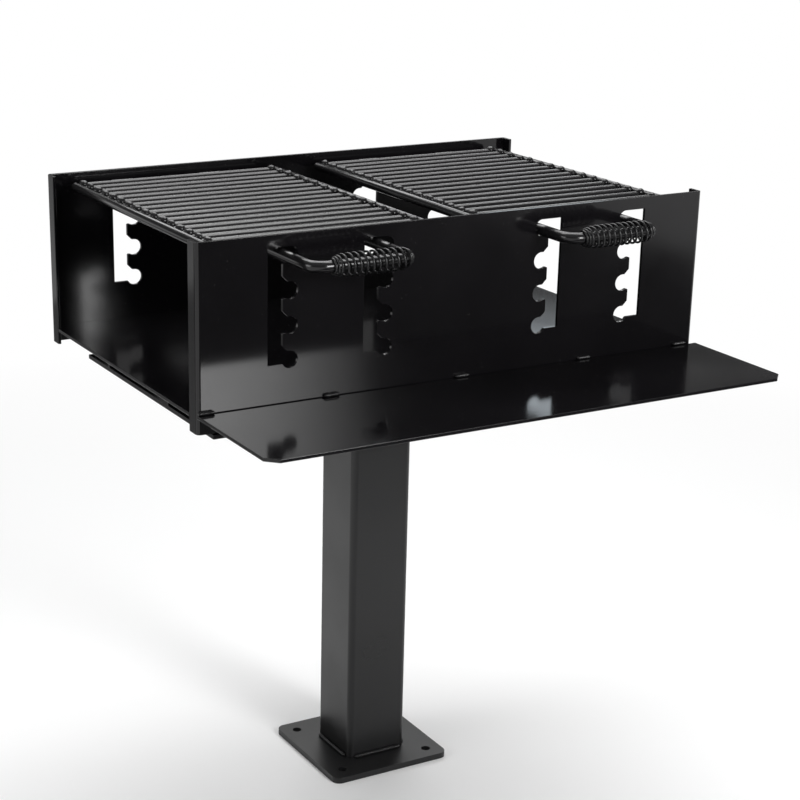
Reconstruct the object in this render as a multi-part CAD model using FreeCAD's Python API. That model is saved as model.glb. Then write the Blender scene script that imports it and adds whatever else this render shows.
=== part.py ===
import FreeCAD, Part
import math
import os
from FreeCAD import Vector

# Park grill on a square post. A fire box of two bent plates and a floor carries a utility shelf
# in front and two cooking grates. Each grate hangs by the two legs of its handle rod in notched
# slots, and lifts up and outwards out of a notch to be set at another height.
# All sizes are in millimetres. The origin is the centre of the post's foot on the ground,
# X runs along the fire box to the right, Y from front to back and Z up.

# Fire box
sheet = 4.76                    # thickness of the plates, the floor and the shelf
box_length = 806.5              # length of the front and back plates
box_inside_depth = 508.0        # from plate to plate, inside
plate_height = 254.0
grill_height = 914.4            # top edge of the plates above the ground
flange = 24.0                   # return flange at each end of a plate, outside
bend_radius = 1.3               # inside radius of the bent corners
floor_rise = 19.8               # underside of the floor above the plates' lower edge

# Level slots in the plates
slot_width = 22.2
slot_margin = 101.6             # from the end of a plate to the outer edge of its first slot
slot_spacing = 143.3            # between the two slots of one grate
notch_radius = 11.9
notch_reach = 10.6              # centre of a notch beyond the slot's edge
notch_pitch = 46.5              # step between two levels
notch_count = 4
top_edge_land = 16.5            # plate left above the slots
lip_height = 1.9                # lip that keeps a leg in its notch
nose_radius = 2.0
lead_height = 7.2               # sloped lead-in above each lower notch

# Utility shelf
shelf_length = 812.8
shelf_depth = 203.2
shelf_rise = 22.5               # underside of the shelf above the plates' lower edge
shelf_corner = 15.9             # clipped front corners

# Handle rod of a grate: two legs and a cross bar in one bent rod
leg_diameter = 15.88
leg_rear_reach = 19.0           # the legs' ends behind the back plate
handle_reach = 65.5             # centre line of the cross bar in front of the front plate
handle_bend = 19.0              # centre line radius of the two bends
seat_gap = 0.3                  # running gap between a leg and its notch

# Cooking rods and side bars of a grate
rod_diameter = 12.7
rod_pitch = 28.575
rod_wall_gap = 25.0             # least space from a plate to the middle of the first rod
rod_sides = 12                  # flat facets round each of the many cooking rods
bar_margin = 35.05              # centre of the outer side bar from the plates' ends
grate_gap = 75.2                # between the centres of the two grates' inner side bars
bar_past_rods = 0.01            # side bar's ends past the sides of the end rods

# Wound grip on the cross bar
wire_diameter = 3.2
wire_sides = 8
grip_length = 100.0
grip_outer = 32.0
grip_shift = 2.5                # off the middle of the cross bar, towards the grill's middle
grip_clearance = 0.05           # end turns on the rod
open_pitch = 8.15
close_pitch = 3.8
close_turns = 2.5
stations_per_turn = 4

# Cross members and side rails under the floor
angle_leg = 31.75
angle_thickness = 4.76
rail_width = 31.75
rail_thickness = 6.35
rail_margin = 27.0              # outer edge of a side rail from the plates' ends
rail_length = 431.8
rail_front_gap = 4.2            # rail's front end behind the front plate
cross_spacing = 203.2           # between the upright legs of the two cross members

# Post, its foot and its top plate
post_width = 101.6
post_wall = 4.76
post_corner = 9.5
foot_width = 203.2
foot_thickness = 9.5
foot_corner = 12.7
anchor_spacing = 152.4
anchor_hole = 14.3
top_plate_length = 254.0
top_plate_thickness = 9.5
top_plate_edge = 3.0            # top plate's edge beyond the cross members

# Bolts that hold the box on the post
bolt_diameter = 12.7
bolt_hole = 13.5
bolt_spacing = 190.5
head_flats = 19.05
head_height = 7.9
nut_height = 11.1
washer_diameter = 27.0
washer_thickness = 2.5
thread_past_nut = 4.0

# Weld stitches
shelf_stitch = 24.0
shelf_stitch_leg = 4.5
stitch_length = 38.0
stitch_leg = 5.0
stitch_margin = 60.0            # first floor stitch from the plates' ends
stitches_per_side = 5
rail_stitch = 24.0
shelf_stitch_margin = 12.0      # middle of the first shelf stitch from the left end
shelf_stitch_spacing = 206.5    # between the three inner shelf stitches

# Places worked out from the sizes above
box_depth = box_inside_depth + 2 * sheet
left_end = -box_length / 2
right_end = box_length / 2
front_face = -box_depth / 2
back_face = box_depth / 2
front_inside = front_face + sheet
back_inside = back_face - sheet
plate_top = grill_height
plate_bottom = plate_top - plate_height
floor_bottom = plate_bottom + floor_rise
floor_top = floor_bottom + sheet
shelf_bottom = plate_bottom + shelf_rise
shelf_top = shelf_bottom + sheet
angle_bottom = floor_bottom - angle_leg
top_plate_bottom = angle_bottom - top_plate_thickness
slot_top = plate_top - top_edge_land
first_notch = slot_top - notch_radius
last_notch = first_notch - notch_pitch * (notch_count - 1)
leg_radius = leg_diameter / 2
rod_radius = rod_diameter / 2
wire_radius = wire_diameter / 2
leg_height = first_notch - (notch_radius - leg_radius - seat_gap)
rod_height = leg_height + leg_radius + rod_radius
outer_leg = left_end + slot_margin + slot_width + notch_reach
inner_leg = outer_leg + slot_spacing
handle_line = front_face - handle_reach
outer_bar = left_end + bar_margin
inner_bar = -grate_gap / 2
rod_count = int((box_inside_depth - 2 * rod_wall_gap) / rod_pitch) + 1
last_rod = rod_pitch * (rod_count - 1) / 2
bar_reach = last_rod + rod_radius + bar_past_rods

os.makedirs("parts", exist_ok=True)


def save(name, shape):
    shape.exportStep("parts/" + name + ".step")


def block(low, high):
    return Part.makeBox(high[0] - low[0], high[1] - low[1], high[2] - low[2], Vector(*low))


def round_bar(radius, start, end):
    return Part.makeCylinder(radius, (end - start).Length, start, end - start)


def mirrored(shape):
    return shape.mirror(Vector(0, 0, 0), Vector(1, 0, 0))


def edges_near(shape, points):
    # Upright edges whose X and Y match one of the given corners.
    found = []
    for edge in shape.Edges:
        reach = edge.BoundBox
        upright = reach.ZLength > 1 and max(reach.XLength, reach.YLength) < 0.01
        for x, y in points:
            if upright and abs(reach.XMin - x) < 0.01 and abs(reach.YMin - y) < 0.01:
                found.append(edge)
    return found


def prism(points, along):
    outline = Part.makePolygon([Vector(*p) for p in points + points[:1]])
    return Part.Face(outline).extrude(along)


def facet_ring(centre, axis, sideways, radius, sides):
    # Closed ring of flat sides round an axis, its corners on the given radius.
    across = axis.cross(sideways)
    across.normalize()
    corners = []
    for k in range(sides + 1):
        angle = 2 * math.pi * k / sides
        corners.append(centre + sideways * (radius * math.cos(angle)) + across * (radius * math.sin(angle)))
    return Part.makePolygon(corners)


# Front and back plates. Each is one sheet with a return flange bent inwards at both ends.
def bent_plate():
    outer = block((left_end, front_face, plate_bottom), (right_end, front_face + flange, plate_top))
    inner = block(
        (left_end + sheet, front_inside, plate_bottom),
        (right_end - sheet, front_face + flange, plate_top),
    )
    plate = outer.cut(inner)
    outer_corners = [(left_end, front_face), (right_end, front_face)]
    plate = plate.makeFillet(bend_radius + sheet, edges_near(plate, outer_corners))
    inner_corners = [(left_end + sheet, front_inside), (right_end - sheet, front_inside)]
    return plate.makeFillet(bend_radius, edges_near(plate, inner_corners))


# One level slot: an upright opening with round notches down one edge. Between two notches the
# plate keeps a tooth, whose lip holds a leg in the notch above it, and whose foot slopes to lead
# a leg into the notch below it. The side is 1 where the notches point right and -1 left.
def level_slot(notched_edge, side):
    start_y = front_face - 1
    lip_drop = notch_radius - lip_height
    lip_offset = math.sqrt(notch_radius ** 2 - lip_drop ** 2)
    edge_drop = math.sqrt(notch_radius ** 2 - notch_reach ** 2)

    def at(reach, height):
        return Vector(notched_edge + side * reach, start_y, height)

    slot_bottom = last_notch - edge_drop
    edges = [
        Part.makeLine(at(-slot_width, slot_top), at(-slot_width, slot_bottom)),
        Part.makeLine(at(-slot_width, slot_bottom), at(0, slot_bottom)),
    ]
    corner = at(0, slot_bottom)
    for level in reversed(range(notch_count)):
        centre = first_notch - notch_pitch * level
        if level < notch_count - 1:
            lip = centre - lip_drop
            nose_start = at(0, lip - nose_radius)
            nose_end = at(nose_radius, lip)
            slant = nose_radius * (1 - math.sqrt(0.5))
            edges.append(Part.makeLine(corner, nose_start))
            edges.append(Part.Arc(nose_start, at(slant, lip - slant), nose_end).toShape())
            arc_start = at(notch_reach - lip_offset, lip)
            edges.append(Part.makeLine(nose_end, arc_start))
        else:
            arc_start = corner
        arc_end = at(notch_reach, centre + notch_radius)
        edges.append(Part.Arc(arc_start, at(notch_reach + notch_radius, centre), arc_end).toShape())
        if level > 0:
            lead_start = at(lead_height, centre + notch_radius)
            corner = at(0, centre + notch_radius + lead_height)
            edges.append(Part.makeLine(arc_end, lead_start))
            edges.append(Part.makeLine(lead_start, corner))
        else:
            edges.append(Part.makeLine(arc_end, at(-slot_width, slot_top)))
    return Part.Face(Part.Wire(edges)).extrude(Vector(0, sheet + 2, 0))


def slotted_plate():
    plate = bent_plate()
    for edge in (outer_leg - notch_reach, inner_leg - notch_reach):
        plate = plate.cut(level_slot(edge, 1))
        plate = plate.cut(level_slot(-edge, -1))
    return plate


front_plate = slotted_plate()
back_plate = front_plate.mirror(Vector(0, 0, 0), Vector(0, 1, 0))
save("front_plate", front_plate)
save("back_plate", back_plate)


# Floor of the fire box, notched at its corners to clear the plates' flanges.
def floor_plate():
    floor = block((left_end, front_inside, floor_bottom), (right_end, back_inside, floor_top))
    notch_x = sheet + bend_radius
    notch_y = flange - sheet + bend_radius
    for x in (left_end, right_end - notch_x):
        for y in (front_inside, back_inside - notch_y):
            floor = floor.cut(block((x, y, floor_bottom), (x + notch_x, y + notch_y, floor_top)))
    return floor


save("floor_plate", floor_plate())


# Utility shelf across the front, flush with the left end of the fire box.
def utility_shelf():
    shelf_right = left_end + shelf_length
    shelf_front = front_face - shelf_depth
    outline = [
        (left_end, front_face, shelf_bottom),
        (left_end, shelf_front + shelf_corner, shelf_bottom),
        (left_end + shelf_corner, shelf_front, shelf_bottom),
        (shelf_right - shelf_corner, shelf_front, shelf_bottom),
        (shelf_right, shelf_front + shelf_corner, shelf_bottom),
        (shelf_right, front_face, shelf_bottom),
    ]
    return prism(outline, Vector(0, 0, sheet))


save("utility_shelf", utility_shelf())


# Side rails: flat bars from front to back that carry the ends of the cross members.
rail_front = front_inside + rail_front_gap
rail_outside = left_end + rail_margin
left_rail = block(
    (rail_outside, rail_front, angle_bottom),
    (rail_outside + rail_width, rail_front + rail_length, angle_bottom + rail_thickness),
)
right_rail = mirrored(left_rail)
save("left_support_rail", left_rail)
save("right_support_rail", right_rail)


# Cross members: angles that carry the floor, coped over the side rails. Their flat legs point
# away from the post, so that the bolts can be reached.
def angle_profile(heel, across):
    # Corner points of an equal angle, from its heel across and up.
    leg, wall = angle_leg, angle_thickness
    steps = [(0, 0), (leg, 0), (leg, wall), (wall, wall), (wall, leg), (0, leg)]
    return [tuple(heel + across * a + Vector(0, 0, b)) for a, b in steps]


def bolt_places():
    reach = cross_spacing / 2 + (angle_leg + angle_thickness) / 2
    return [(x, y) for x in (-bolt_spacing / 2, bolt_spacing / 2) for y in (-reach, reach)]


def cross_member(outward):
    heel = Vector(rail_outside, outward * cross_spacing / 2, angle_bottom)
    member = prism(angle_profile(heel, Vector(0, outward, 0)), Vector(-2 * rail_outside, 0, 0))
    member = member.cut(left_rail).cut(right_rail)
    for x, y in bolt_places():
        member = member.cut(
            Part.makeCylinder(bolt_hole / 2, angle_thickness, Vector(x, y, angle_bottom))
        )
    return member


save("front_cross_member", cross_member(-1))
save("rear_cross_member", cross_member(1))


# Post: square tube between the foot and the top plate.
def rounded_square(width, corner, bottom, height):
    half = width / 2
    solid = block((-half, -half, bottom), (half, half, bottom + height))
    corners = [(x, y) for x in (-half, half) for y in (-half, half)]
    return solid.makeFillet(corner, edges_near(solid, corners))


post_height = top_plate_bottom - foot_thickness
post_outside = rounded_square(post_width, post_corner, foot_thickness, post_height)
post_inside = rounded_square(
    post_width - 2 * post_wall, post_corner - post_wall, foot_thickness, post_height
)
save("post", post_outside.cut(post_inside))


# Foot of the post with its four anchor holes.
def base_plate():
    plate = rounded_square(foot_width, foot_corner, 0, foot_thickness)
    for x in (-anchor_spacing / 2, anchor_spacing / 2):
        for y in (-anchor_spacing / 2, anchor_spacing / 2):
            plate = plate.cut(Part.makeCylinder(anchor_hole / 2, foot_thickness, Vector(x, y, 0)))
    return plate


save("base_plate", base_plate())

top_plate_half_depth = cross_spacing / 2 + angle_leg + top_plate_edge


def post_top_plate():
    plate = block(
        (-top_plate_length / 2, -top_plate_half_depth, top_plate_bottom),
        (top_plate_length / 2, top_plate_half_depth, angle_bottom),
    )
    for x, y in bolt_places():
        plate = plate.cut(
            Part.makeCylinder(bolt_hole / 2, top_plate_thickness, Vector(x, y, top_plate_bottom))
        )
    return plate


save("post_top_plate", post_top_plate())


# Four hexagon bolts, heads below the top plate, with a washer and a nut on top.
def hexagon(x, y, bottom, height):
    corner_radius = head_flats / math.sqrt(3)
    ring = facet_ring(Vector(x, y, bottom), Vector(0, 0, 1), Vector(1, 0, 0), corner_radius, 6)
    return Part.Face(ring).extrude(Vector(0, 0, height))


def washer(x, y, bottom):
    ring = Part.makeCylinder(washer_diameter / 2, washer_thickness, Vector(x, y, bottom))
    return ring.cut(Part.makeCylinder(bolt_hole / 2, washer_thickness, Vector(x, y, bottom)))


bolts, washers, nuts = [], [], []
for x, y in bolt_places():
    washer_bottom = angle_bottom + angle_thickness
    nut_bottom = washer_bottom + washer_thickness
    shank_length = nut_bottom + nut_height + thread_past_nut - top_plate_bottom
    shank = Part.makeCylinder(bolt_diameter / 2, shank_length, Vector(x, y, top_plate_bottom))
    head = hexagon(x, y, top_plate_bottom - head_height, head_height)
    bolts.append(head.fuse(shank))
    washers.append(washer(x, y, washer_bottom))
    nuts.append(hexagon(x, y, nut_bottom, nut_height).cut(shank))
save("mounting_bolts", Part.makeCompound(bolts))
save("mounting_washers", Part.makeCompound(washers))
save("mounting_nuts", Part.makeCompound(nuts))


# A weld stitch fills the corner between two plates. It runs from start to end along the corner,
# its toes lie on the plates in the directions a and b, and both its ends taper out.
def stitch(start, end, a, b, leg):
    along = Vector(end - start)
    along.normalize()
    near_a = start + along * leg + a * leg
    near_b = start + along * leg + b * leg
    far_a = end - along * leg + a * leg
    far_b = end - along * leg + b * leg
    outlines = [
        [start, near_a, near_b],
        [end, far_b, far_a],
        [start, end, far_a, near_a],
        [start, near_b, far_b, end],
        [near_a, far_a, far_b, near_b],
    ]
    faces = [Part.Face(Part.makePolygon(points + points[:1])) for points in outlines]
    return Part.makeSolid(Part.makeShell(faces))


def stitch_row(first, last, count, length, leg, corner, a, b):
    # Stitches of one length along X, their middles evenly spaced from first to last.
    step = (last - first) / (count - 1)
    row = []
    for k in range(count):
        middle = Vector(first + k * step, corner[0], corner[1])
        half = Vector(length / 2, 0, 0)
        row.append(stitch(middle - half, middle + half, a, b, leg))
    return row


up = Vector(0, 0, 1)
forward = Vector(0, -1, 0)
backward = Vector(0, 1, 0)
down = Vector(0, 0, -1)

# The shelf's stitches lie in the corner between its top and the front plate: one near each end
# and three between.
shelf_corner_line = (front_face, shelf_top)
shelf_welds = stitch_row(
    -shelf_stitch_spacing, shelf_stitch_spacing, 3,
    shelf_stitch, shelf_stitch_leg, shelf_corner_line, forward, up,
)
shelf_welds += stitch_row(
    left_end + shelf_stitch_margin, right_end - 2 * shelf_stitch_margin, 2,
    shelf_stitch, shelf_stitch_leg, shelf_corner_line, forward, up,
)
save("shelf_welds", Part.makeCompound(shelf_welds))

# The floor is stitched to both plates from below.
floor_welds = []
for wall, inwards in ((front_inside, backward), (back_inside, forward)):
    floor_welds += stitch_row(
        left_end + stitch_margin + angle_leg, right_end - stitch_margin - angle_leg,
        stitches_per_side, stitch_length, stitch_leg, (wall, floor_bottom), inwards, down,
    )
save("floor_welds", Part.makeCompound(floor_welds))

# The cross members are stitched to the floor's underside and to the tops of the side rails.
frame_welds = []
rail_middle = rail_outside + rail_width / 2
rail_top = angle_bottom + rail_thickness
for side in (-1, 1):
    face = side * cross_spacing / 2
    inwards = Vector(0, -side, 0)
    frame_welds += stitch_row(
        -bolt_spacing, bolt_spacing, 3, stitch_length, stitch_leg, (face, floor_bottom), inwards, down,
    )
    frame_welds += stitch_row(
        rail_middle, -rail_middle, 2, rail_stitch, stitch_leg, (face, rail_top), inwards, up,
    )
save("frame_welds", Part.makeCompound(frame_welds))

# The post is welded to its foot and to its top plate on all four sides.
post_welds = []
half_post = post_width / 2
half_bead = Vector(half_post - post_corner, 0, 0)
half_side_bead = Vector(0, half_post - post_corner, 0)
for height, rise in ((foot_thickness, up), (top_plate_bottom, down)):
    for side in (-1, 1):
        middle = Vector(0, side * half_post, height)
        outwards = Vector(0, side, 0)
        post_welds.append(stitch(middle - half_bead, middle + half_bead, outwards, rise, stitch_leg))
        middle = Vector(side * half_post, 0, height)
        outwards = Vector(side, 0, 0)
        bead = stitch(middle - half_side_bead, middle + half_side_bead, outwards, rise, stitch_leg)
        post_welds.append(bead)
save("post_welds", Part.makeCompound(post_welds))


# Handle rod of the left grate: one round rod, bent to a long U. Its cross bar is the handle and
# its legs run back through the front and back plates.
def handle_rod():
    leg_front = handle_line + handle_bend
    leg_back = back_face + leg_rear_reach
    rod = round_bar(
        leg_radius,
        Vector(outer_leg + handle_bend, handle_line, leg_height),
        Vector(inner_leg - handle_bend, handle_line, leg_height),
    )
    for leg, turn in ((outer_leg, 1), (inner_leg, -1)):
        front_end = Vector(leg, leg_front, leg_height)
        section = Part.Face(Part.Wire(Part.makeCircle(leg_radius, front_end, Vector(0, 1, 0))))
        centre = Vector(leg + turn * handle_bend, leg_front, leg_height)
        bend = section.revolve(centre, Vector(0, 0, 1), turn * 90)
        rod = rod.fuse(bend).fuse(round_bar(leg_radius, front_end, Vector(leg, leg_back, leg_height)))
    return rod.removeSplitter()


# A cooking rod rests on both legs, and its ends butt on the side bars.
def cooking_rod(y):
    start = Vector(outer_bar + rod_radius, y, rod_height)
    ring = facet_ring(start, Vector(1, 0, 0), Vector(0, 1, 0), rod_radius, rod_sides)
    return Part.Face(ring).extrude(Vector(inner_bar - outer_bar - rod_diameter, 0, 0))


def side_bar(x):
    return round_bar(rod_radius, Vector(x, -bar_reach, rod_height), Vector(x, bar_reach, rod_height))


# Wound grip: one wire, close turns that widen from the rod at each end and open turns between.
open_turns = (grip_length - wire_diameter - 2 * close_turns * close_pitch) / open_pitch
all_turns = open_turns + 2 * close_turns
end_coil_radius = leg_radius + grip_clearance + wire_radius
open_coil_radius = grip_outer / 2 - wire_radius


def coil_point(turn, left):
    from_end = min(turn, all_turns - turn, close_turns)
    radius = end_coil_radius + (open_coil_radius - end_coil_radius) * from_end / close_turns
    close_before = min(turn, close_turns)
    close_after = max(turn - close_turns - open_turns, 0)
    along = close_pitch * (close_before + close_after)
    along += open_pitch * (turn - close_before - close_after)
    angle = 2 * math.pi * turn
    return Vector(
        left + wire_radius + along,
        handle_line - radius * math.sin(angle),
        leg_height + radius * math.cos(angle),
    )


def coil_direction(turn, left):
    step = 0.001
    direction = coil_point(min(turn + step, all_turns), left) - coil_point(max(turn - step, 0), left)
    direction.normalize()
    return direction


def tangent_arc(start, corner, end):
    # Circular arc that leaves start and reaches end along the two equal sides of a corner.
    to_start = start - corner
    to_end = end - corner
    side = to_start.Length
    to_start.normalize()
    to_end.normalize()
    middle = to_start + to_end
    middle.normalize()
    half = math.acos(min(1, to_start.dot(middle)))
    radius = side * math.tan(half)
    return Part.Arc(start, corner + middle * (radius / math.sin(half) - radius), end).toShape()


def biarc(start, start_dir, end, end_dir):
    # Two arcs that meet smoothly, tangent to the given directions at both ends.
    gap = end - start
    both = start_dir + end_dir
    spread = 2 * (1 - start_dir.dot(end_dir))
    reach = (math.sqrt(gap.dot(both) ** 2 + spread * gap.dot(gap)) - gap.dot(both)) / spread
    first = start + start_dir * reach
    second = end - end_dir * reach
    joint = (first + second) * 0.5
    return [tangent_arc(start, first, joint), tangent_arc(joint, second, end)]


def wound_grip(left):
    count = math.ceil(all_turns * stations_per_turn)
    stations = [all_turns * k / count for k in range(count + 1)]
    edges = []
    for near, far in zip(stations, stations[1:]):
        edges += biarc(
            coil_point(near, left), coil_direction(near, left),
            coil_point(far, left), coil_direction(far, left),
        )
    path = Part.Wire(edges)
    start, direction = coil_point(0, left), coil_direction(0, left)
    sideways = direction.cross(Vector(1, 0, 0))
    sideways.normalize()
    shell = Part.BRepOffsetAPI.MakePipeShell(path)
    shell.add(facet_ring(start, direction, sideways, wire_radius, wire_sides))
    shell.build()
    shell.makeSolid()
    return shell.shape()


def least_coil_gap():
    # Distance between the wire and itself half a turn or more along, measured on points.
    per_turn = 48
    points = [coil_point(k / per_turn, 0) for k in range(int(all_turns * per_turn) + 1)]
    pairs = (
        (points[i] - points[j]).Length
        for i in range(len(points))
        for j in range(i + per_turn // 2, min(i + 2 * per_turn, len(points)))
    )
    return min(pairs) - wire_diameter


print("grip turns", round(all_turns, 2), "least gap of the wire to itself", round(least_coil_gap(), 2))

# Both grates. The right one mirrors the left, but both grips are wound the same way.
rod_rows = [rod_pitch * k - last_rod for k in range(rod_count)]
left_parts = {
    "handle": handle_rod(),
    "cooking_rods": Part.makeCompound([cooking_rod(y) for y in rod_rows]),
    "outer_side_bar": side_bar(outer_bar),
    "inner_side_bar": side_bar(inner_bar),
}
for name, shape in left_parts.items():
    save("left_" + name, shape)
    save("right_" + name, mirrored(shape))

cross_bar_middle = (outer_leg + inner_leg) / 2 + grip_shift
save("left_grip_spring", wound_grip(cross_bar_middle - grip_length / 2))
save("right_grip_spring", wound_grip(-cross_bar_middle - grip_length / 2))
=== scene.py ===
import math

import bmesh
import bpy
from mathutils import Matrix, Vector


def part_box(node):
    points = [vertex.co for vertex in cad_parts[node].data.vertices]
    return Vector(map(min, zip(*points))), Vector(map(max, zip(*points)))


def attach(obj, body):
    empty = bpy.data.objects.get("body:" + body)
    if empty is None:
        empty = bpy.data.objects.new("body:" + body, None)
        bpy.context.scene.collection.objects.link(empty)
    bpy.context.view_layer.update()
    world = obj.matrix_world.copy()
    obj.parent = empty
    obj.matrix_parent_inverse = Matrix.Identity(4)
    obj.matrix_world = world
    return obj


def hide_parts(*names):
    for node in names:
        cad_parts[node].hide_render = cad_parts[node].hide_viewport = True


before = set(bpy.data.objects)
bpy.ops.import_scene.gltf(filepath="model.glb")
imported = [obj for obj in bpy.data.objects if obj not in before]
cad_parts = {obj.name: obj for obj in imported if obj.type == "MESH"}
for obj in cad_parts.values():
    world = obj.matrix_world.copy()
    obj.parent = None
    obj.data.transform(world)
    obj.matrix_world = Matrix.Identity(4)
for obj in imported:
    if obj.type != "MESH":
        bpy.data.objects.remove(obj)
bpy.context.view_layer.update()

scene = bpy.context.scene


# Viewpoint: what somebody sees who stands at the front left of the grill, taken with a long lens
# that is shifted a little and held not quite level.
camera_place = Vector((-1.3915, -2.3980, 1.4367))
camera_heading = math.radians(29.512)
camera_tilt = math.radians(19.235)
camera_roll = math.radians(0.906)
camera_forward = Vector((
    math.sin(camera_heading) * math.cos(camera_tilt),
    math.cos(camera_heading) * math.cos(camera_tilt),
    -math.sin(camera_tilt),
))
level_right = Vector((math.cos(camera_heading), -math.sin(camera_heading), 0))
upright = level_right.cross(camera_forward)
image_right = level_right * math.cos(camera_roll) + upright * math.sin(camera_roll)
image_up = upright * math.cos(camera_roll) - level_right * math.sin(camera_roll)
camera_data = bpy.data.cameras.new("viewpoint")
camera_data.sensor_width = 36.0
camera_data.lens = 85.968
camera_data.shift_x = 0.0668
camera_data.shift_y = 0.0873
camera = bpy.data.objects.new("viewpoint", camera_data)
camera.matrix_world = Matrix((
    (image_right.x, image_up.x, -camera_forward.x, camera_place.x),
    (image_right.y, image_up.y, -camera_forward.y, camera_place.y),
    (image_right.z, image_up.z, -camera_forward.z, camera_place.z),
    (0, 0, 0, 1),
))
scene.collection.objects.link(camera)
scene.camera = camera
scene.view_settings.view_transform = "Standard"


# Studio floor: a pale matt floor. Close to the grill it takes the grill's soft shadow, and further
# out it is plain white.
def add_node(tree, kind, inputs=None, **settings):
    node = tree.nodes.new(kind)
    for name, value in settings.items():
        setattr(node, name, value)
    for key, value in (inputs or {}).items():
        if isinstance(value, bpy.types.NodeSocket):
            tree.links.new(value, node.inputs[key])
        else:
            node.inputs[key].default_value = value
    return node


def node_math(tree, operation, *values):
    inputs = {place: value for place, value in enumerate(values)}
    return add_node(tree, "ShaderNodeMath", inputs, operation=operation).outputs[0]


def node_range(tree, value, low, high, to_low, to_high):
    inputs = {"Value": value, 1: low, 2: high, 3: to_low, 4: to_high}
    return add_node(tree, "ShaderNodeMapRange", inputs).outputs[0]


def plane_mesh(name, corners):
    mesh = bpy.data.meshes.new(name)
    mesh.from_pydata(corners, [], [range(len(corners))])
    return mesh


floor_reach = 30.0
shadow_reach = (0.8, 2.4)       # the floor turns from matt to plain white between these distances
floor_tone, white_tone = 0.92, 1.0
ground_mesh = plane_mesh("studio_floor", [
    (-floor_reach, -floor_reach, 0), (floor_reach, -floor_reach, 0),
    (floor_reach, floor_reach, 0), (-floor_reach, floor_reach, 0),
])
ground = bpy.data.objects.new("studio_floor", ground_mesh)
scene.collection.objects.link(ground)
ground_material = bpy.data.materials.new("pale_studio_floor")
ground_material.use_nodes = True
tree = ground_material.node_tree
tree.nodes.clear()
path = add_node(tree, "ShaderNodeLightPath")
seen = node_math(tree, "MAXIMUM", path.outputs["Is Camera Ray"], path.outputs["Is Glossy Ray"])
seen = node_math(tree, "MAXIMUM", seen, path.outputs["Is Transmission Ray"])
place = add_node(tree, "ShaderNodeTexCoord").outputs["Object"]
distance = add_node(tree, "ShaderNodeVectorMath", {0: place}, operation="LENGTH").outputs["Value"]
far_part = node_range(tree, distance, *shadow_reach, 0.0, 1.0)
matt = add_node(tree, "ShaderNodeBsdfDiffuse", {"Color": (floor_tone, floor_tone, floor_tone, 1)})
white = add_node(tree, "ShaderNodeEmission", {"Color": (1, 1, 1, 1), "Strength": white_tone})
floor_mix = add_node(tree, "ShaderNodeMixShader", {
    0: node_math(tree, "MULTIPLY", seen, far_part), 1: matt.outputs[0], 2: white.outputs[0],
})
add_node(tree, "ShaderNodeOutputMaterial", {"Surface": floor_mix.outputs[0]})
ground_mesh.materials.append(ground_material)

# Studio walls and ceiling: white near the floor, dark over it, and paler again overhead, so that
# the gloss of the black paint has something dark and something pale to mirror.
world = bpy.data.worlds.new("studio")
world.use_nodes = True
tree = world.node_tree
tree.nodes.clear()
direction = add_node(tree, "ShaderNodeTexCoord").outputs["Generated"]
height = add_node(tree, "ShaderNodeSeparateXYZ", {0: direction}).outputs["Z"]
dark_wall, pale_ceiling = 0.11, 0.45
wall_edge = (0.10, 0.18)        # slope of the view, as a sine, between which white turns dark
ceiling_edge = (0.4, 0.9)       # and between which dark turns paler
walls = node_range(tree, height, *wall_edge, white_tone, dark_wall)
ceiling = node_range(tree, height, *ceiling_edge, dark_wall, pale_ceiling)
strength = node_math(tree, "MAXIMUM", walls, ceiling)
background = add_node(tree, "ShaderNodeBackground", {"Color": (1, 1, 1, 1), "Strength": strength})
add_node(tree, "ShaderNodeOutputWorld", {"Surface": background.outputs[0]})
scene.world = world


# Studio lamps: softboxes above, behind, at the left and in front, and a small cool lamp at the
# back. The camera doesn't see them. Each shines at its target from its place, in metres.
def softbox(name, place, target, width, height, radiance, colour=(1, 1, 1)):
    data = bpy.data.lights.new(name, "AREA")
    data.color = colour
    data.shape = "RECTANGLE"
    data.size = width
    data.size_y = height
    data.energy = radiance * math.pi * width * height
    lamp = bpy.data.objects.new(name, data)
    lamp.location = place
    lamp.rotation_euler = (Vector(target) - Vector(place)).to_track_quat("-Z", "Y").to_euler()
    lamp.visible_camera = False
    scene.collection.objects.link(lamp)


softbox("overhead_softbox", (0.5, 0.7, 3.0), (0, 0, 0.8), width=2.6, height=1.2, radiance=5.0)
softbox("back_softbox", (1.5, 3.2, 3.1), (0, 0, 0.9), width=3.4, height=1.5, radiance=3.3)
softbox(
    "cool_back_lamp", (2.49, 3.06, 1.915), (0.27, -0.05, 0.685),
    width=0.42, height=0.36, radiance=1.9, colour=(0.84, 0.93, 1.0),
)
softbox("left_softbox", (-2.6, 0.2, 1.5), (0, 0, 0.7), width=1.4, height=1.0, radiance=4.0)

# The front softbox fades out at its sides, so it is built up of boxes of four widths, one a
# little behind the other.
layer_gap = 0.01
for layer, layer_width in enumerate((0.29, 0.53, 0.74, 0.97)):
    softbox(
        "front_softbox_%d" % (layer + 1), (0.50, -2.3 - layer_gap * layer, 1.55), (0, -0.2, 0.8),
        width=layer_width, height=0.8, radiance=6.2,
    )


# Studio cards: two dark matt cards and a pale one that lie on the floor in front and at the left.
# Only the gloss of the paint shows them.
card_height = 0.02


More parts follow.
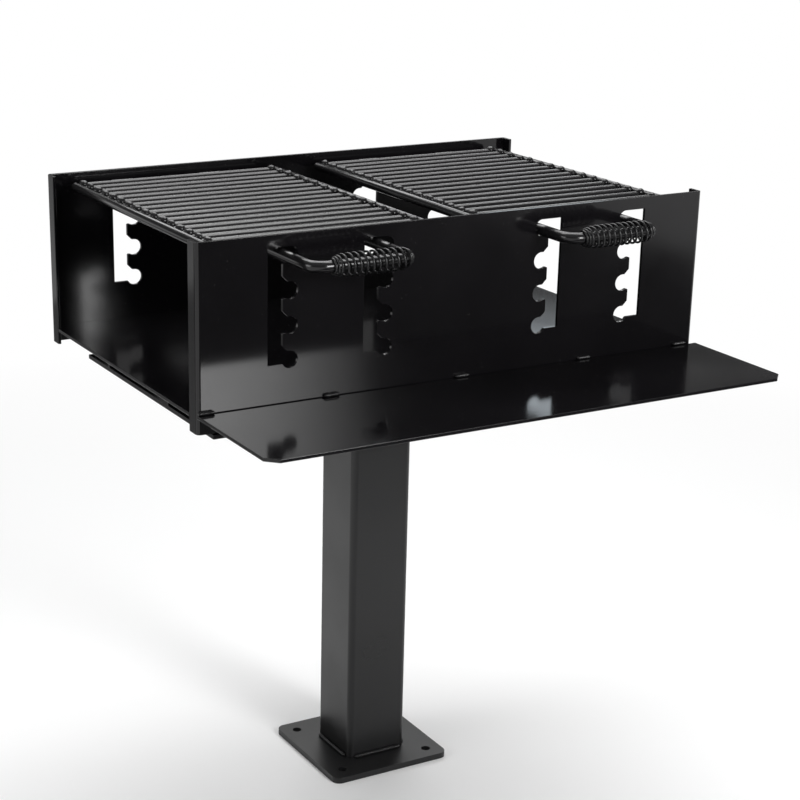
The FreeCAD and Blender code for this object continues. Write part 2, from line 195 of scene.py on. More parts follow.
def floor_card(name, near, far, tone):
    mesh = plane_mesh(name, [
        (near[0], near[1], card_height), (far[0], near[1], card_height),
        (far[0], far[1], card_height), (near[0], far[1], card_height),
    ])
    card = bpy.data.objects.new(name, mesh)
    scene.collection.objects.link(card)
    card.visible_camera = False
    card.visible_diffuse = False
    card.visible_shadow = False
    card.visible_transmission = False
    material = bpy.data.materials.new(name)
    material.use_nodes = True
    shader = material.node_tree.nodes["Principled BSDF"]
    shader.inputs["Base Color"].default_value = (tone, tone, tone, 1)
    shader.inputs["Roughness"].default_value = 0.9
    mesh.materials.append(material)


floor_card("front_card", (-1.0, -6.0), (2.72, -1.15), 0.10)
floor_card("left_card", (-3.6, 0.9), (-1.0, 2.85), 0.26)
floor_card("far_left_card", (-3.6, 2.85), (-1.0, 6.5), 0.95)


# Foot of the post: a square steel plate with four anchor holes, powder coated in satin black
# together with the post. Anchor bolts hold it on a concrete pad.
mm = 0.001


def powder_coat(name, colour, roughness, peel_size, peel_height, dust):
    # Baked paint: slow changes of tone and gloss, a fine skin like orange peel, and dust specks.
    dust_colour = (0.16, 0.155, 0.15, 1)
    light_tone = tuple(1.6 * part for part in colour) + (1,)
    dark_tone = tuple(0.7 * part for part in colour) + (1,)
    material = bpy.data.materials.new(name)
    material.use_nodes = True
    tree = material.node_tree
    shader = tree.nodes["Principled BSDF"]
    place = add_node(tree, "ShaderNodeTexCoord").outputs["Object"]
    cloud = add_node(tree, "ShaderNodeTexNoise", {"Vector": place, "Scale": 7.0, "Detail": 4.0})
    fine = add_node(tree, "ShaderNodeTexNoise", {
        "Vector": place, "Scale": 1 / peel_size, "Detail": 2.0,
    })
    specks = add_node(tree, "ShaderNodeTexVoronoi", {"Vector": place, "Scale": 170.0})
    chance = add_node(tree, "ShaderNodeTexNoise", {"Vector": place, "Scale": 45.0, "Detail": 1.0})
    speck = node_range(tree, specks.outputs["Distance"], 0.035, 0.075, 1.0, 0.0)
    some = node_range(tree, chance.outputs[0], 0.56, 0.62, 0.0, dust)
    speck = node_math(tree, "MULTIPLY", speck, some)
    tone = add_node(tree, "ShaderNodeMix", {
        "Factor": cloud.outputs[0], 6: dark_tone, 7: light_tone,
    }, data_type="RGBA")
    dusty = add_node(tree, "ShaderNodeMix", {
        "Factor": speck, 6: tone.outputs[2], 7: dust_colour,
    }, data_type="RGBA")
    gloss = node_range(tree, cloud.outputs[0], 0.3, 0.7, roughness * 0.8, roughness * 1.3)
    gloss = node_math(tree, "ADD", gloss, node_math(tree, "MULTIPLY", speck, 0.4))
    tree.links.new(dusty.outputs[2], shader.inputs["Base Color"])
    tree.links.new(gloss, shader.inputs["Roughness"])
    skin = add_node(tree, "ShaderNodeBump", {
        "Height": fine.outputs[0], "Distance": peel_height, "Strength": 1.0,
    })
    tree.links.new(skin.outputs[0], shader.inputs["Normal"])
    shader.inputs["IOR"].default_value = 1.45
    return material


def add_piece(name, mesh, material, body, slot, *nodes):
    mesh.name = name
    mesh.materials.clear()
    mesh.materials.append(material)
    piece = bpy.data.objects.new(name, mesh)
    scene.collection.objects.link(piece)
    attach(piece, body)
    if nodes:
        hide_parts(*nodes)


def finished_mesh(piece):
    # The piece's mesh with its modifiers worked in; the working object goes.
    scene.collection.objects.link(piece)
    depsgraph = bpy.context.evaluated_depsgraph_get()
    evaluated = piece.evaluated_get(depsgraph)
    mesh = bpy.data.meshes.new_from_object(
        evaluated, preserve_all_data_layers=True, depsgraph=depsgraph,
    )
    piece.modifiers.clear()
    bpy.data.objects.remove(piece)
    return mesh


def merged_solid(node):
    # The node's outline as one closed skin with whole flat faces.
    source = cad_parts[node]
    skin = bmesh.new()
    skin.from_mesh(source.data)
    skin.transform(source.matrix_world)
    bmesh.ops.remove_doubles(skin, verts=skin.verts, dist=0.002 * mm)
    bmesh.ops.dissolve_limit(
        skin, angle_limit=math.radians(0.5), verts=skin.verts, edges=skin.edges,
        delimit={"NORMAL"},
    )
    return skin


def eased_solid(node, edge_radius, skin=None):
    # Cut steel has slightly rounded edges once it is blasted and coated.
    if skin is None:
        skin = merged_solid(node)
    mesh = bpy.data.meshes.new(node + "_eased")
    skin.to_mesh(mesh)
    skin.free()
    mesh.shade_smooth()
    piece = bpy.data.objects.new(node + "_eased", mesh)
    easing = piece.modifiers.new("easing", "BEVEL")
    easing.width = edge_radius
    easing.segments = 2
    easing.limit_method = "ANGLE"
    easing.angle_limit = math.radians(28)
    easing.miter_outer = "MITER_ARC"
    normals = piece.modifiers.new("flat faces stay flat", "WEIGHTED_NORMAL")
    normals.mode = "FACE_AREA"
    normals.weight = 80
    normals.keep_sharp = True
    return finished_mesh(piece)


foot_easing = 0.8 * mm
post_coat = powder_coat(
    "satin_black_post_coat", (0.0062, 0.0062, 0.0066), roughness=0.34,
    peel_size=1.1 * mm, peel_height=0.010 * mm, dust=0.5,
)
add_piece(
    "post_foot", eased_solid("base_plate", foot_easing), post_coat,
    "stand", "post_paint", "base_plate",
)


# Post: square steel tube with rounded corners, cut to length, welded upright on the foot and
# coated in satin black.
cut_easing = 0.4 * mm
add_piece(
    "square_post", eased_solid("post", cut_easing), post_coat, "stand", "post_paint", "post",
)


# Post welds: steel fillet beads round the post's foot and head, laid in short overlapping puddles
# and coated together with the post.
def new_tree(name, inputs):
    tree = bpy.data.node_groups.new(name, "GeometryNodeTree")
    tree.is_modifier = True
    sockets = {"Geometry": "NodeSocketGeometry"}
    sockets.update(inputs)
    for label, kind in sockets.items():
        tree.interface.new_socket(label, in_out="INPUT", socket_type=kind)
    tree.interface.new_socket("Geometry", in_out="OUTPUT", socket_type="NodeSocketGeometry")
    return tree, tree.nodes.new("NodeGroupInput").outputs


def close_tree(tree, geometry, material):
    whole = add_node(tree, "GeometryNodeRealizeInstances", {0: geometry}).outputs[0]
    coated = add_node(tree, "GeometryNodeSetMaterial", {
        "Geometry": whole, "Material": material,
    }).outputs[0]
    add_node(tree, "NodeGroupOutput", {0: coated})


def worked_by_tree(tree, mesh, sizes, sharp_angle=40):
    piece = bpy.data.objects.new(tree.name, mesh)
    modifier = piece.modifiers.new(tree.name, "NODES")
    modifier.node_group = tree
    for item in tree.interface.items_tree:
        if item.in_out == "INPUT" and item.name in sizes:
            modifier[item.identifier] = sizes[item.name]
    result = finished_mesh(piece)
    result.shade_smooth()
    result.set_sharp_from_angle(angle=math.radians(sharp_angle))
    return result


def round_section(tree, radius, sides):
    circle = add_node(tree, "GeometryNodeCurvePrimitiveCircle", {
        "Radius": radius, "Resolution": sides,
    })
    return circle.outputs["Curve"]


bead_sides = 12
steps_per_ripple = 5.0
end_rounding = 1.6              # length over which a bead closes, in radii of the bead
end_cap = 0.02                  # smallest part left open, so that no end is a bare point
wave_share = 0.6                # of the even waves in the ripples, against uneven ones


def weld_bead_tree():
    # Each edge of the given mesh becomes one bead: its radius swells in ripples and closes at
    # both ends.
    tree, given = new_tree("weld_bead", {
        "Bead radius": "NodeSocketFloat", "Ripple length": "NodeSocketFloat",
        "Ripple depth": "NodeSocketFloat", "Material": "NodeSocketMaterial",
    })
    line = add_node(tree, "GeometryNodeMeshToCurve", {"Mesh": given["Geometry"]}).outputs[0]
    step = node_math(tree, "DIVIDE", given["Ripple length"], steps_per_ripple)
    line = add_node(tree, "GeometryNodeResampleCurve", {
        "Curve": line, "Length": step,
    }, mode="LENGTH").outputs[0]
    along = add_node(tree, "GeometryNodeSplineParameter").outputs
    whole = add_node(tree, "GeometryNodeSplineLength").outputs["Length"]
    left = node_math(tree, "SUBTRACT", whole, along["Length"])
    from_end = node_math(tree, "MINIMUM", along["Length"], left)
    closing = node_math(tree, "MULTIPLY", given["Bead radius"], end_rounding)
    share = node_math(tree, "MINIMUM", node_math(tree, "DIVIDE", from_end, closing), 1.0)
    open_part = node_math(tree, "SUBTRACT", 1.0, share)
    rounding = node_math(tree, "SUBTRACT", 1.0, node_math(tree, "MULTIPLY", open_part, open_part))
    rounding = node_math(tree, "SQRT", node_math(tree, "MAXIMUM", rounding, end_cap))
    phase = node_math(tree, "DIVIDE", along["Length"], given["Ripple length"])
    wave = node_math(tree, "SINE", node_math(tree, "MULTIPLY", phase, 2 * math.pi))
    uneven = add_node(tree, "ShaderNodeTexNoise", {"Scale": 180.0, "Detail": 1.0}).outputs[0]
    ripple = node_math(tree, "ADD", node_math(tree, "MULTIPLY", wave, wave_share), uneven)
    ripple = node_math(tree, "MULTIPLY", ripple, given["Ripple depth"])
    radius = node_math(tree, "MULTIPLY", node_math(tree, "ADD", ripple, 1.0), rounding)
    radius = node_math(tree, "MULTIPLY", radius, given["Bead radius"])
    tube = add_node(tree, "GeometryNodeCurveToMesh", {
        "Curve": line, "Profile Curve": round_section(tree, 1.0, bead_sides), "Scale": radius,
        "Fill Caps": True,
    })
    close_tree(tree, tube.outputs[0], given["Material"])
    return tree


def weld_lines(node):
    # Middle line of each stitch of a welded joint, from end to end, as edges of one mesh, and how
    # thick the stitches are.
    skin = merged_solid(node)
    waiting = set(skin.verts)
    lines = []
    thickness = 0
    while waiting:
        group, queue = [], [waiting.pop()]
        while queue:
            corner = queue.pop()
            group.append(corner.co.copy())
            for edge in corner.link_edges:
                other = edge.other_vert(corner)
                if other in waiting:
                    waiting.remove(other)
                    queue.append(other)
        low = Vector([min(point[axis] for point in group) for axis in range(3)])
        high = Vector([max(point[axis] for point in group) for axis in range(3)])
        size = high - low
        long_axis = max(range(3), key=lambda axis: size[axis])
        start = (low + high) / 2
        end = start.copy()
        start[long_axis] = low[long_axis]
        end[long_axis] = high[long_axis]
        lines.append((start, end))
        thickness = min(size)
    skin.free()
    lines.sort(key=lambda line: tuple(line[0]))
    mesh = bpy.data.meshes.new(node + "_lines")
    mesh.from_pydata(
        [point for line in lines for point in line],
        [(2 * k, 2 * k + 1) for k in range(len(lines))], [],
    )
    return mesh, thickness


bead_tree = weld_bead_tree()
bead_share = 0.6                # radius of a bead as a share of its stitch's thickness
ripple_length = 2.4 * mm
ripple_depth = 0.13             # as a share of the bead's radius


def welded(name, node, material, slot):
    lines, thickness = weld_lines(node)
    mesh = worked_by_tree(bead_tree, lines, {
        "Bead radius": bead_share * thickness, "Ripple length": ripple_length,
        "Ripple depth": ripple_depth, "Material": material,
    }, sharp_angle=60)
    add_piece(name, mesh, material, "stand", slot, node)


welded("post_weld_beads", "post_welds", post_coat, "post_paint")


# Top plate: rectangular steel plate welded flat on the post's head, with four bolt holes, and
# coated in satin black with it.
plate_easing = 0.7 * mm
add_piece(
    "top_plate_on_post", eased_solid("post_top_plate", plate_easing), post_coat,
    "stand", "post_paint", "post_top_plate",
)


# Bolts, washers and nuts: four zinc plated hexagon bolts put in from below, each with a washer
# and a nut on the cross member.
def zinc_plate():
    material = bpy.data.materials.new("zinc_plated_steel")
    material.use_nodes = True
    tree = material.node_tree
    shader = tree.nodes["Principled BSDF"]
    place = add_node(tree, "ShaderNodeTexCoord").outputs["Object"]
    spangle = add_node(tree, "ShaderNodeTexNoise", {
        "Vector": place, "Scale": 260.0, "Detail": 3.0,
    })
    tone = add_node(tree, "ShaderNodeMix", {
        "Factor": spangle.outputs[0], 6: (0.42, 0.43, 0.45, 1), 7: (0.66, 0.66, 0.64, 1),
    }, data_type="RGBA")
    tree.links.new(tone.outputs[2], shader.inputs["Base Color"])
    gloss = node_range(tree, spangle.outputs[0], 0.3, 0.7, 0.28, 0.45)
    tree.links.new(gloss, shader.inputs["Roughness"])
    shader.inputs["Metallic"].default_value = 1.0
    return material


chamfer_slope = 1.3             # how far a chamfer runs inwards, in chamfer heights


def fastener_tree():
    # A chamfered prism on each of the four bolt places, added to what is already there.
    tree, given = new_tree("fasteners", {
        "Spacing across": "NodeSocketFloat", "Spacing deep": "NodeSocketFloat",
        "Sides": "NodeSocketInt", "Corner radius": "NodeSocketFloat",
        "Height": "NodeSocketFloat", "Chamfer": "NodeSocketFloat",
        "Bottom": "NodeSocketFloat", "Material": "NodeSocketMaterial",
    })
    places = add_node(tree, "GeometryNodeMeshGrid", {
        "Size X": given["Spacing across"], "Size Y": given["Spacing deep"],
        "Vertices X": 2, "Vertices Y": 2,
    }).outputs[0]
    chamfers = node_math(tree, "MULTIPLY", given["Chamfer"], 2.0)
    body_height = node_math(tree, "SUBTRACT", given["Height"], chamfers)
    prism = add_node(tree, "GeometryNodeMeshCylinder", {
        "Vertices": given["Sides"], "Radius": given["Corner radius"], "Depth": body_height,
    }).outputs[0]
    normal = add_node(tree, "GeometryNodeInputNormal").outputs[0]
    up_part = add_node(tree, "ShaderNodeSeparateXYZ", {0: normal}).outputs["Z"]
    is_end = add_node(tree, "FunctionNodeCompare", {
        0: node_math(tree, "ABSOLUTE", up_part), 1: 0.9,
    }, data_type="FLOAT", operation="GREATER_THAN").outputs[0]
    ends = add_node(tree, "GeometryNodeExtrudeMesh", {
        "Mesh": prism, "Selection": is_end, "Offset Scale": given["Chamfer"],
    }, mode="FACES")
    smaller = node_math(tree, "DIVIDE", given["Chamfer"], given["Corner radius"])
    smaller = node_math(tree, "SUBTRACT", 1.0, node_math(tree, "MULTIPLY", smaller, chamfer_slope))
    chamfered = add_node(tree, "GeometryNodeScaleElements", {
        "Geometry": ends.outputs["Mesh"], "Selection": ends.outputs["Top"], "Scale": smaller,
    }, domain="FACE").outputs[0]
    half_height = node_math(tree, "MULTIPLY", given["Height"], 0.5)
    middle = node_math(tree, "ADD", given["Bottom"], half_height)
    lift = add_node(tree, "ShaderNodeCombineXYZ", {2: middle}).outputs[0]
    lifted = add_node(tree, "GeometryNodeTransform", {
        "Geometry": chamfered, "Translation": lift,
    }).outputs[0]
    set_out = add_node(tree, "GeometryNodeInstanceOnPoints", {
        "Points": places, "Instance": lifted,
    }).outputs[0]
    joined = add_node(tree, "GeometryNodeJoinGeometry")
    tree.links.new(given["Geometry"], joined.inputs[0])
    tree.links.new(set_out, joined.inputs[0])
    close_tree(tree, joined.outputs[0], given["Material"])
    return tree


zinc = zinc_plate()
bolt_tree = fastener_tree()
bolt_low, bolt_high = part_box("mounting_bolts")
washer_low, washer_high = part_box("mounting_washers")
nut_low, nut_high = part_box("mounting_nuts")
plate_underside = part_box("post_top_plate")[0][2]
across_flats = 19.05 * mm       # of the bolt heads and the nuts
hexagon_radius = across_flats / math.sqrt(3)
shank_radius = 6.35 * mm
washer_radius = 13.5 * mm
inside_head = 2 * mm            # the shanks start this far up in their heads
bolt_sizes = {
    "Spacing across": 190.5 * mm,
    "Spacing deep": bolt_high[1] - bolt_low[1] - across_flats,
    "Material": zinc,
}


def fasteners(mesh, sides, radius, bottom, top, chamfer):
    sizes = dict(bolt_sizes)
    sizes.update({
        "Sides": sides, "Corner radius": radius, "Height": top - bottom,
        "Chamfer": chamfer, "Bottom": bottom,
    })
    return worked_by_tree(bolt_tree, mesh, sizes, sharp_angle=25)


bolt_shanks = fasteners(
    bpy.data.meshes.new("bolt_shanks"), sides=20, radius=shank_radius,
    bottom=bolt_low[2] + inside_head, top=bolt_high[2], chamfer=0.9 * mm,
)
bolts = fasteners(
    bolt_shanks, sides=6, radius=hexagon_radius,
    bottom=bolt_low[2], top=plate_underside, chamfer=1.1 * mm,
)
add_piece("hexagon_bolts", bolts, zinc, "stand", "zinc_steel", "mounting_bolts")
washers = fasteners(
    bpy.data.meshes.new("washers"), sides=28, radius=washer_radius,
    bottom=washer_low[2], top=washer_high[2], chamfer=0.4 * mm,
)
add_piece("flat_washers", washers, zinc, "stand", "zinc_steel", "mounting_washers")
nuts = fasteners(
    bpy.data.meshes.new("nuts"), sides=6, radius=hexagon_radius,
    bottom=nut_low[2], top=nut_high[2], chamfer=1.2 * mm,
)
add_piece("hexagon_nuts", nuts, zinc, "stand", "zinc_steel", "mounting_nuts")


# Side rails: two flat steel bars, sawn to length, that lie under the fire box from front to back.
# They are powder coated in gloss black together with the box.
frame_easing = 0.6 * mm
box_coat = powder_coat(
    "gloss_black_box_coat", (0.0038, 0.0035, 0.0041), roughness=0.11,
    peel_size=1.8 * mm, peel_height=0.006 * mm, dust=0.8,
)
for side in ("left", "right"):
    add_piece(
        side + "_side_rail", eased_solid(side + "_support_rail", frame_easing), box_coat,
        "stand", "fire_box_paint", side + "_support_rail",
    )


# Cross members: two steel angles that lie on the top plate and carry the floor, coped over the
# side rails.
for place in ("front", "rear"):
    add_piece(
        place + "_cross_angle", eased_solid(place + "_cross_member", frame_easing), box_coat,
        "stand", "fire_box_paint", place + "_cross_member",
    )
welded("frame_weld_beads", "frame_welds", box_coat, "fire_box_paint")


# Floor of the fire box: one flat steel plate between the front and back plates, stitched to them
# from below.
add_piece(
    "fire_box_floor", eased_solid("floor_plate", plate_easing), box_coat,
    "stand", "fire_box_paint", "floor_plate",
)
welded("floor_weld_beads", "floor_welds", box_coat, "fire_box_paint")


# Front and back plates: cut from steel plate with their notched level slots, and bent to a
# return flange at each end.
for place in ("front", "back"):
    add_piece(
        place + "_bent_plate", eased_solid(place + "_plate", plate_easing), box_coat,
        "stand", "fire_box_paint", place + "_plate",
    )


# Utility shelf: flat steel plate with clipped front corners, stitched across the front plate. Its
# back edge is ground off at the top, which leaves a dark groove along the seam.
seam_groove = 3.2 * mm
edge_slack = 0.01 * mm
shelf_skin = merged_solid("utility_shelf")
shelf_back, shelf_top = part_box("utility_shelf")[1][1:]
back_edge = [
    edge for edge in shelf_skin.edges
    if all(
        end.co.y > shelf_back - edge_slack and end.co.z > shelf_top - edge_slack
        for end in edge.verts
    )
]
bmesh.ops.bevel(shelf_skin, geom=back_edge, offset=seam_groove, segments=1, affect="EDGES")
shelf_mesh = eased_solid("utility_shelf", plate_easing, shelf_skin)
add_piece("front_shelf", shelf_mesh, box_coat, "stand", "fire_box_paint", "utility_shelf")
welded("shelf_weld_beads", "shelf_welds", box_coat, "fire_box_paint")


# Grate handles: one round steel rod each, bent to a long U whose legs run back through the slots
# of both plates.
def swept_rod(name, points, radius, sides, end_easing):
    # Round rod along a line of points, with eased ends.
    skin = bmesh.new()
    count = len(points)
    end_radius = radius - end_easing
    shoulder = end_easing * 0.3
    rings = []
    side_way = None
    for place, point in enumerate(points):
        before = points[max(place - 1, 0)]
        after = points[min(place + 1, count - 1)]
        along = (after - before).normalized()
        if side_way is None:
            side_way = along.cross(Vector((0, 0, 1))).normalized()
        side_way = (side_way - along * side_way.dot(along)).normalized()
        up_way = along.cross(side_way)
        steps = [(0, radius)]
        if place == 0:
            steps = [(0, end_radius), (shoulder, radius - shoulder), (end_easing, radius)]
        if place == count - 1:
            steps = [(-end_easing, radius), (-shoulder, radius - shoulder), (0, end_radius)]
        for shift, size in steps:
            ring = []
            for k in range(sides):
                angle = 2 * math.pi * k / sides
                offset = side_way * (size * math.cos(angle)) + up_way * (size * math.sin(angle))
                ring.append(skin.verts.new(point + along * shift + offset))
            rings.append(ring)
    for near, far in zip(rings, rings[1:]):
        for k in range(sides):
            j = (k + 1) % sides
            skin.faces.new((near[k], near[j], far[j], far[k]))
    skin.faces.new(rings[0])
    skin.faces.new(rings[-1])
    bmesh.ops.recalc_face_normals(skin, faces=skin.faces)
    mesh = bpy.data.meshes.new(name)
    skin.to_mesh(mesh)
    skin.free()
    mesh.shade_smooth()
    mesh.set_sharp_from_angle(angle=math.radians(50))
    return mesh


grate_coat = powder_coat(
    "gloss_black_grate_coat", (0.006, 0.0058, 0.0063), roughness=0.19,
    peel_size=1.6 * mm, peel_height=0.006 * mm, dust=0.4,
)
leg_radius = 7.94 * mm
handle_bend = 19.0 * mm
bend_steps = 14


def handle_line(side):
    low, high = (Vector(corner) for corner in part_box(side + "_handle"))
    near_leg, far_leg = low.x + leg_radius, high.x - leg_radius
    cross_bar, leg_end = low.y + leg_radius, high.y
    height = (low.z + high.z) / 2
    points = [Vector((near_leg, leg_end, height))]
    for leg, turn in ((near_leg, 1), (far_leg, -1)):
        corner = Vector((leg + turn * handle_bend, cross_bar + handle_bend, height))
        arc = []
        for k in range(bend_steps + 1):
            angle = math.pi / 2 * k / bend_steps
            outwards = Vector((-turn * math.cos(angle), -math.sin(angle), 0))
            arc.append(corner + outwards * handle_bend)
        points += arc if turn == 1 else arc[::-1]
    points.append(Vector((far_leg, leg_end, height)))
    return points


for side in ("left", "right"):
    mesh = swept_rod(
        side + "_u_handle", handle_line(side), leg_radius, sides=28, end_easing=1.0 * mm,
    )
    add_piece(
        side + "_u_handle", mesh, grate_coat, side + "_grate", "grate_paint", side + "_handle",
    )


# Side bars of the grates: round steel bars, two on each grate, that lie across the ends of all its
# cooking rods. The rods are welded to them.
rod_radius = 6.35 * mm
rod_sides = 24
for side in ("left", "right"):
    for place in ("outer", "inner"):
        low, high = (Vector(corner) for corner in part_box(side + "_" + place + "_side_bar"))
        middle = (low + high) / 2
        line = [Vector((middle.x, low.y, middle.z)), Vector((middle.x, high.y, middle.z))]
        mesh = swept_rod(
            side + "_" + place + "_bar", line, rod_radius, sides=rod_sides, end_easing=0.9 * mm,
        )
        add_piece(
            side + "_" + place + "_bar", mesh, grate_coat, side + "_grate", "grate_paint",
            side + "_" + place + "_side_bar",
        )


# Cooking rods: seventeen round steel rods on each grate, laid across the legs at an even pitch
# with their ends against the side bars.
def rod_row_tree():
    tree, given = new_tree("cooking_rod_row", {
        "Rod count": "NodeSocketInt", "Rod pitch": "NodeSocketFloat",
        "Rod length": "NodeSocketFloat", "Rod radius": "NodeSocketFloat",
        "Rod sides": "NodeSocketInt", "First rod": "NodeSocketVector",
        "Material": "NodeSocketMaterial",
    })
    step = add_node(tree, "ShaderNodeCombineXYZ", {1: given["Rod pitch"]}).outputs[0]
    places = add_node(tree, "GeometryNodeMeshLine", {
        "Count": given["Rod count"], "Start Location": given["First rod"], "Offset": step,
    }, mode="OFFSET").outputs[0]
    reach = add_node(tree, "ShaderNodeCombineXYZ", {0: given["Rod length"]}).outputs[0]
    line = add_node(tree, "GeometryNodeCurvePrimitiveLine", {"End": reach}).outputs[0]
    section = round_section(tree, given["Rod radius"], given["Rod sides"])
    rod = add_node(tree, "GeometryNodeCurveToMesh", {
        "Curve": line, "Profile Curve": section, "Fill Caps": True,
    }).outputs[0]
    row = add_node(tree, "GeometryNodeInstanceOnPoints", {
        "Points": places, "Instance": rod,
    }).outputs[0]
    close_tree(tree, row, given["Material"])
    return tree


rod_tree = rod_row_tree()
rod_count = 17
rod_pitch = 28.575 * mm
row_depth = rod_pitch * (rod_count - 1)
for side in ("left", "right"):
    low, high = (Vector(corner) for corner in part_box(side + "_cooking_rods"))
    middle = (low + high) / 2
    mesh = worked_by_tree(rod_tree, bpy.data.meshes.new("rods"), {
        "Rod count": rod_count, "Rod pitch": rod_pitch, "Rod length": high.x - low.x,
        "Rod radius": rod_radius, "Rod sides": rod_sides,
        "First rod": (low.x, middle.y - row_depth / 2, middle.z), "Material": grate_coat,
    })
    add_piece(
        side + "_rods", mesh, grate_coat, side + "_grate", "grate_paint", side + "_cooking_rods",
    )


# Rod end welds: one round bead of weld steel over each rod's end, laid onto the side bar by hand,
# so that no two are quite alike. They are coated together with the grate.
least_turn, most_turn = (-0.1, -0.1, -0.5), (0.1, 0.1, 0.5)     # in radians
least_size, most_size = (0.86, 0.86, 0.86), (1.16, 1.12, 1.12)  # in bead sizes


def rod_bead_tree():
    tree, given = new_tree("rod_end_beads", {
        "Bead count": "NodeSocketInt", "Bead pitch": "NodeSocketFloat",
        "First bead": "NodeSocketVector", "Bead size": "NodeSocketVector",
        "Unevenness": "NodeSocketFloat", "Seed": "NodeSocketInt",
        "Material": "NodeSocketMaterial",
    })
    step = add_node(tree, "ShaderNodeCombineXYZ", {1: given["Bead pitch"]}).outputs[0]
    places = add_node(tree, "GeometryNodeMeshLine", {
        "Count": given["Bead count"], "Start Location": given["First bead"], "Offset": step,
    }, mode="OFFSET").outputs[0]
    ball = add_node(tree, "GeometryNodeMeshUVSphere", {
        "Segments": 16, "Rings": 10, "Radius": 1.0,
    }).outputs[0]
    ball = add_node(tree, "GeometryNodeTransform", {
        "Geometry": ball, "Scale": given["Bead size"],
    }).outputs[0]
    turn = add_node(tree, "FunctionNodeRandomValue", {
        0: least_turn, 1: most_turn, "Seed": given["Seed"],
    }, data_type="FLOAT_VECTOR").outputs[0]
    size_seed = node_math(tree, "ADD", given["Seed"], 7)
    size = add_node(tree, "FunctionNodeRandomValue", {
        0: least_size, 1: most_size, "Seed": size_seed,
    }, data_type="FLOAT_VECTOR").outputs[0]
    row = add_node(tree, "GeometryNodeInstanceOnPoints", {
        "Points": places, "Instance": ball, "Rotation": turn, "Scale": size,
    }).outputs[0]
    row = add_node(tree, "GeometryNodeRealizeInstances", {0: row}).outputs[0]
    lumps = add_node(tree, "ShaderNodeTexNoise", {"Scale": 240.0, "Detail": 1.0}).outputs[0]
    lumps = node_math(tree, "SUBTRACT", lumps, 0.5)
    lumps = node_math(tree, "MULTIPLY", lumps, given["Unevenness"])
    normal = add_node(tree, "GeometryNodeInputNormal").outputs[0]
    offset = add_node(tree, "ShaderNodeVectorMath", {
        0: normal, "Scale": lumps,
    }, operation="SCALE").outputs[0]
    row = add_node(tree, "GeometryNodeSetPosition", {
        "Geometry": row, "Offset": offset,
    }).outputs[0]
    close_tree(tree, row, given["Material"])
    return tree


rod_end_tree = rod_bead_tree()
bead_offset = 3.6 * mm          # from the end face of a rod towards its middle
bead_rise = 4.0 * mm            # above the rods' centre line
bead_size = (6.4 * mm, 7.4 * mm, 6.0 * mm)
unevenness = 2.0 * mm
seed = 3
seed_step = 11
for side in ("left", "right"):
    low, high = (Vector(corner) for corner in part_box(side + "_cooking_rods"))
    middle = (low + high) / 2
    for place, end, inwards in (("left", low.x, 1), ("right", high.x, -1)):
        seed += seed_step
        first_bead = (
            end + inwards * bead_offset, middle.y - row_depth / 2, middle.z + bead_rise,
        )
        mesh = worked_by_tree(rod_end_tree, bpy.data.meshes.new("beads"), {
            "Bead count": rod_count, "Bead pitch": rod_pitch, "First bead": first_bead,
            "Bead size": bead_size, "Unevenness": unevenness, "Seed": seed,
            "Material": grate_coat,
        }, sharp_angle=70)
        add_piece(
            side + "_rod_welds_" + place, mesh, grate_coat, side + "_grate", "grate_paint",
        )


# Wound grips: one steel wire each, coiled round the handle's cross bar. The end turns are close
# and grip the bar, the middle turns stand open and keep cool.
wire_sides = 10


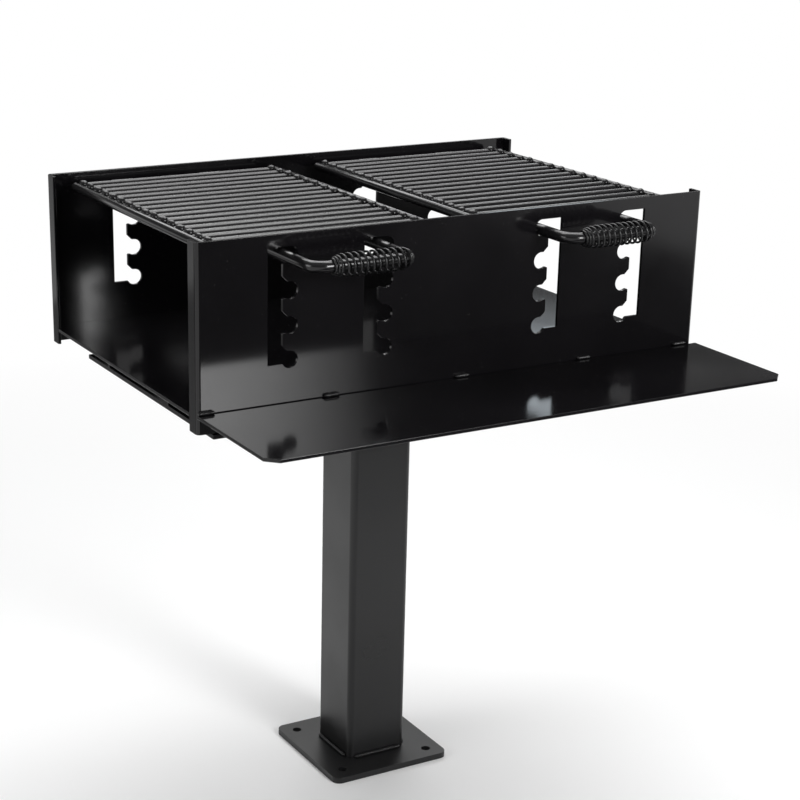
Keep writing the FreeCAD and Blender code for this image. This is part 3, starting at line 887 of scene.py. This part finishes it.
def wound_grip_tree():
    tree, given = new_tree("wound_grip", {
        "Points": "NodeSocketInt", "Points per turn": "NodeSocketFloat",
        "Turns": "NodeSocketFloat", "Close turns": "NodeSocketFloat",
        "Taper turns": "NodeSocketFloat", "Close pitch": "NodeSocketFloat",
        "Open pitch": "NodeSocketFloat", "End coil radius": "NodeSocketFloat",
        "Open coil radius": "NodeSocketFloat", "Wire radius": "NodeSocketFloat",
        "Start": "NodeSocketVector", "Straight length": "NodeSocketFloat",
        "Bend radius": "NodeSocketFloat", "Material": "NodeSocketMaterial",
    })
    line = add_node(tree, "GeometryNodeMeshLine", {
        "Count": given["Points"],
    }, mode="OFFSET").outputs[0]
    line = add_node(tree, "GeometryNodeMeshToCurve", {"Mesh": line}).outputs[0]
    index = add_node(tree, "GeometryNodeInputIndex").outputs[0]
    turn = node_math(tree, "DIVIDE", index, given["Points per turn"])
    turn = node_math(tree, "MINIMUM", turn, given["Turns"])
    # The coil widens from both ends to its open turns.
    turns_left = node_math(tree, "SUBTRACT", given["Turns"], turn)
    from_end = node_math(tree, "MINIMUM", turn, turns_left)
    from_end = node_math(tree, "MINIMUM", from_end, given["Taper turns"])
    share = node_math(tree, "DIVIDE", from_end, given["Taper turns"])
    widening = node_math(tree, "SUBTRACT", given["Open coil radius"], given["End coil radius"])
    widening = node_math(tree, "MULTIPLY", widening, share)
    radius = node_math(tree, "ADD", given["End coil radius"], widening)
    # Its pitch is close at both ends and open between.
    close_before = node_math(tree, "MINIMUM", turn, given["Close turns"])
    last_close = node_math(tree, "SUBTRACT", given["Turns"], given["Close turns"])
    close_after = node_math(tree, "SUBTRACT", turn, last_close)
    close_after = node_math(tree, "MAXIMUM", close_after, 0.0)
    closely = node_math(tree, "ADD", close_before, close_after)
    openly = node_math(tree, "SUBTRACT", turn, closely)
    close_length = node_math(tree, "MULTIPLY", closely, given["Close pitch"])
    open_length = node_math(tree, "MULTIPLY", openly, given["Open pitch"])
    along = node_math(tree, "ADD", close_length, open_length)
    along = node_math(tree, "ADD", along, given["Wire radius"])
    angle = node_math(tree, "MULTIPLY", turn, 2 * math.pi)
    outwards = node_math(tree, "MULTIPLY", node_math(tree, "SINE", angle), radius)
    upwards = node_math(tree, "MULTIPLY", node_math(tree, "COSINE", angle), radius)
    # Past the straight part of the bar, the coil follows the bend.
    on_bar = node_math(tree, "MINIMUM", along, given["Straight length"])
    past_bar = node_math(tree, "SUBTRACT", along, on_bar)
    bend = node_math(tree, "DIVIDE", past_bar, given["Bend radius"])
    reach = node_math(tree, "ADD", given["Bend radius"], outwards)
    across = node_math(tree, "MULTIPLY", reach, node_math(tree, "SINE", bend))
    across = node_math(tree, "ADD", on_bar, across)
    deep = node_math(tree, "MULTIPLY", reach, node_math(tree, "COSINE", bend))
    deep = node_math(tree, "SUBTRACT", given["Bend radius"], deep)
    offset = add_node(tree, "ShaderNodeCombineXYZ", {0: across, 1: deep, 2: upwards}).outputs[0]
    place = add_node(tree, "ShaderNodeVectorMath", {
        0: given["Start"], 1: offset,
    }, operation="ADD").outputs[0]
    line = add_node(tree, "GeometryNodeSetPosition", {
        "Geometry": line, "Position": place,
    }).outputs[0]
    section = round_section(tree, given["Wire radius"], wire_sides)
    wire = add_node(tree, "GeometryNodeCurveToMesh", {
        "Curve": line, "Profile Curve": section, "Fill Caps": True,
    }).outputs[0]
    close_tree(tree, wire, given["Material"])
    return tree


grip_coat = powder_coat(
    "satin_black_grip_wire", (0.008, 0.008, 0.0085), roughness=0.26,
    peel_size=0.9 * mm, peel_height=0.004 * mm, dust=0.2,
)
grip_tree = wound_grip_tree()
wire_radius = 1.6 * mm
wire_clearance = 0.05 * mm      # between the close turns and the bar
grip_radius = 16 * mm           # over the wire of the open turns
close_turns = 2.5
taper_turns = 3.3
close_pitch = 3.8 * mm
open_pitch = 9.2 * mm
grip_length = 117.3 * mm        # along the cross bar and a little round its right-hand bend
points_per_turn = 26
open_length = grip_length - 2 * wire_radius - 2 * close_turns * close_pitch
grip_turns = open_length / open_pitch + 2 * close_turns
for side in ("left", "right"):
    low, high = (Vector(corner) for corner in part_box(side + "_handle"))
    bar_start = low.x + leg_radius + handle_bend
    bar_end = high.x - leg_radius - handle_bend
    grip_start = bar_start
    if side == "left":
        grip_start = max(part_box(side + "_grip_spring")[0][0], bar_start)
    mesh = worked_by_tree(grip_tree, bpy.data.meshes.new("grip"), {
        "Points": int(grip_turns * points_per_turn) + 2,
        "Points per turn": float(points_per_turn), "Turns": grip_turns,
        "Close turns": close_turns, "Taper turns": taper_turns,
        "Close pitch": close_pitch, "Open pitch": open_pitch,
        "End coil radius": leg_radius + wire_radius + wire_clearance,
        "Open coil radius": grip_radius - wire_radius, "Wire radius": wire_radius,
        "Start": (grip_start, low.y + leg_radius, (low.z + high.z) / 2),
        "Straight length": bar_end - grip_start, "Bend radius": handle_bend,
        "Material": grip_coat,
    })
    add_piece(
        side + "_wound_grip", mesh, grip_coat, side + "_grate", "grip_wire",
        side + "_grip_spring",
    )
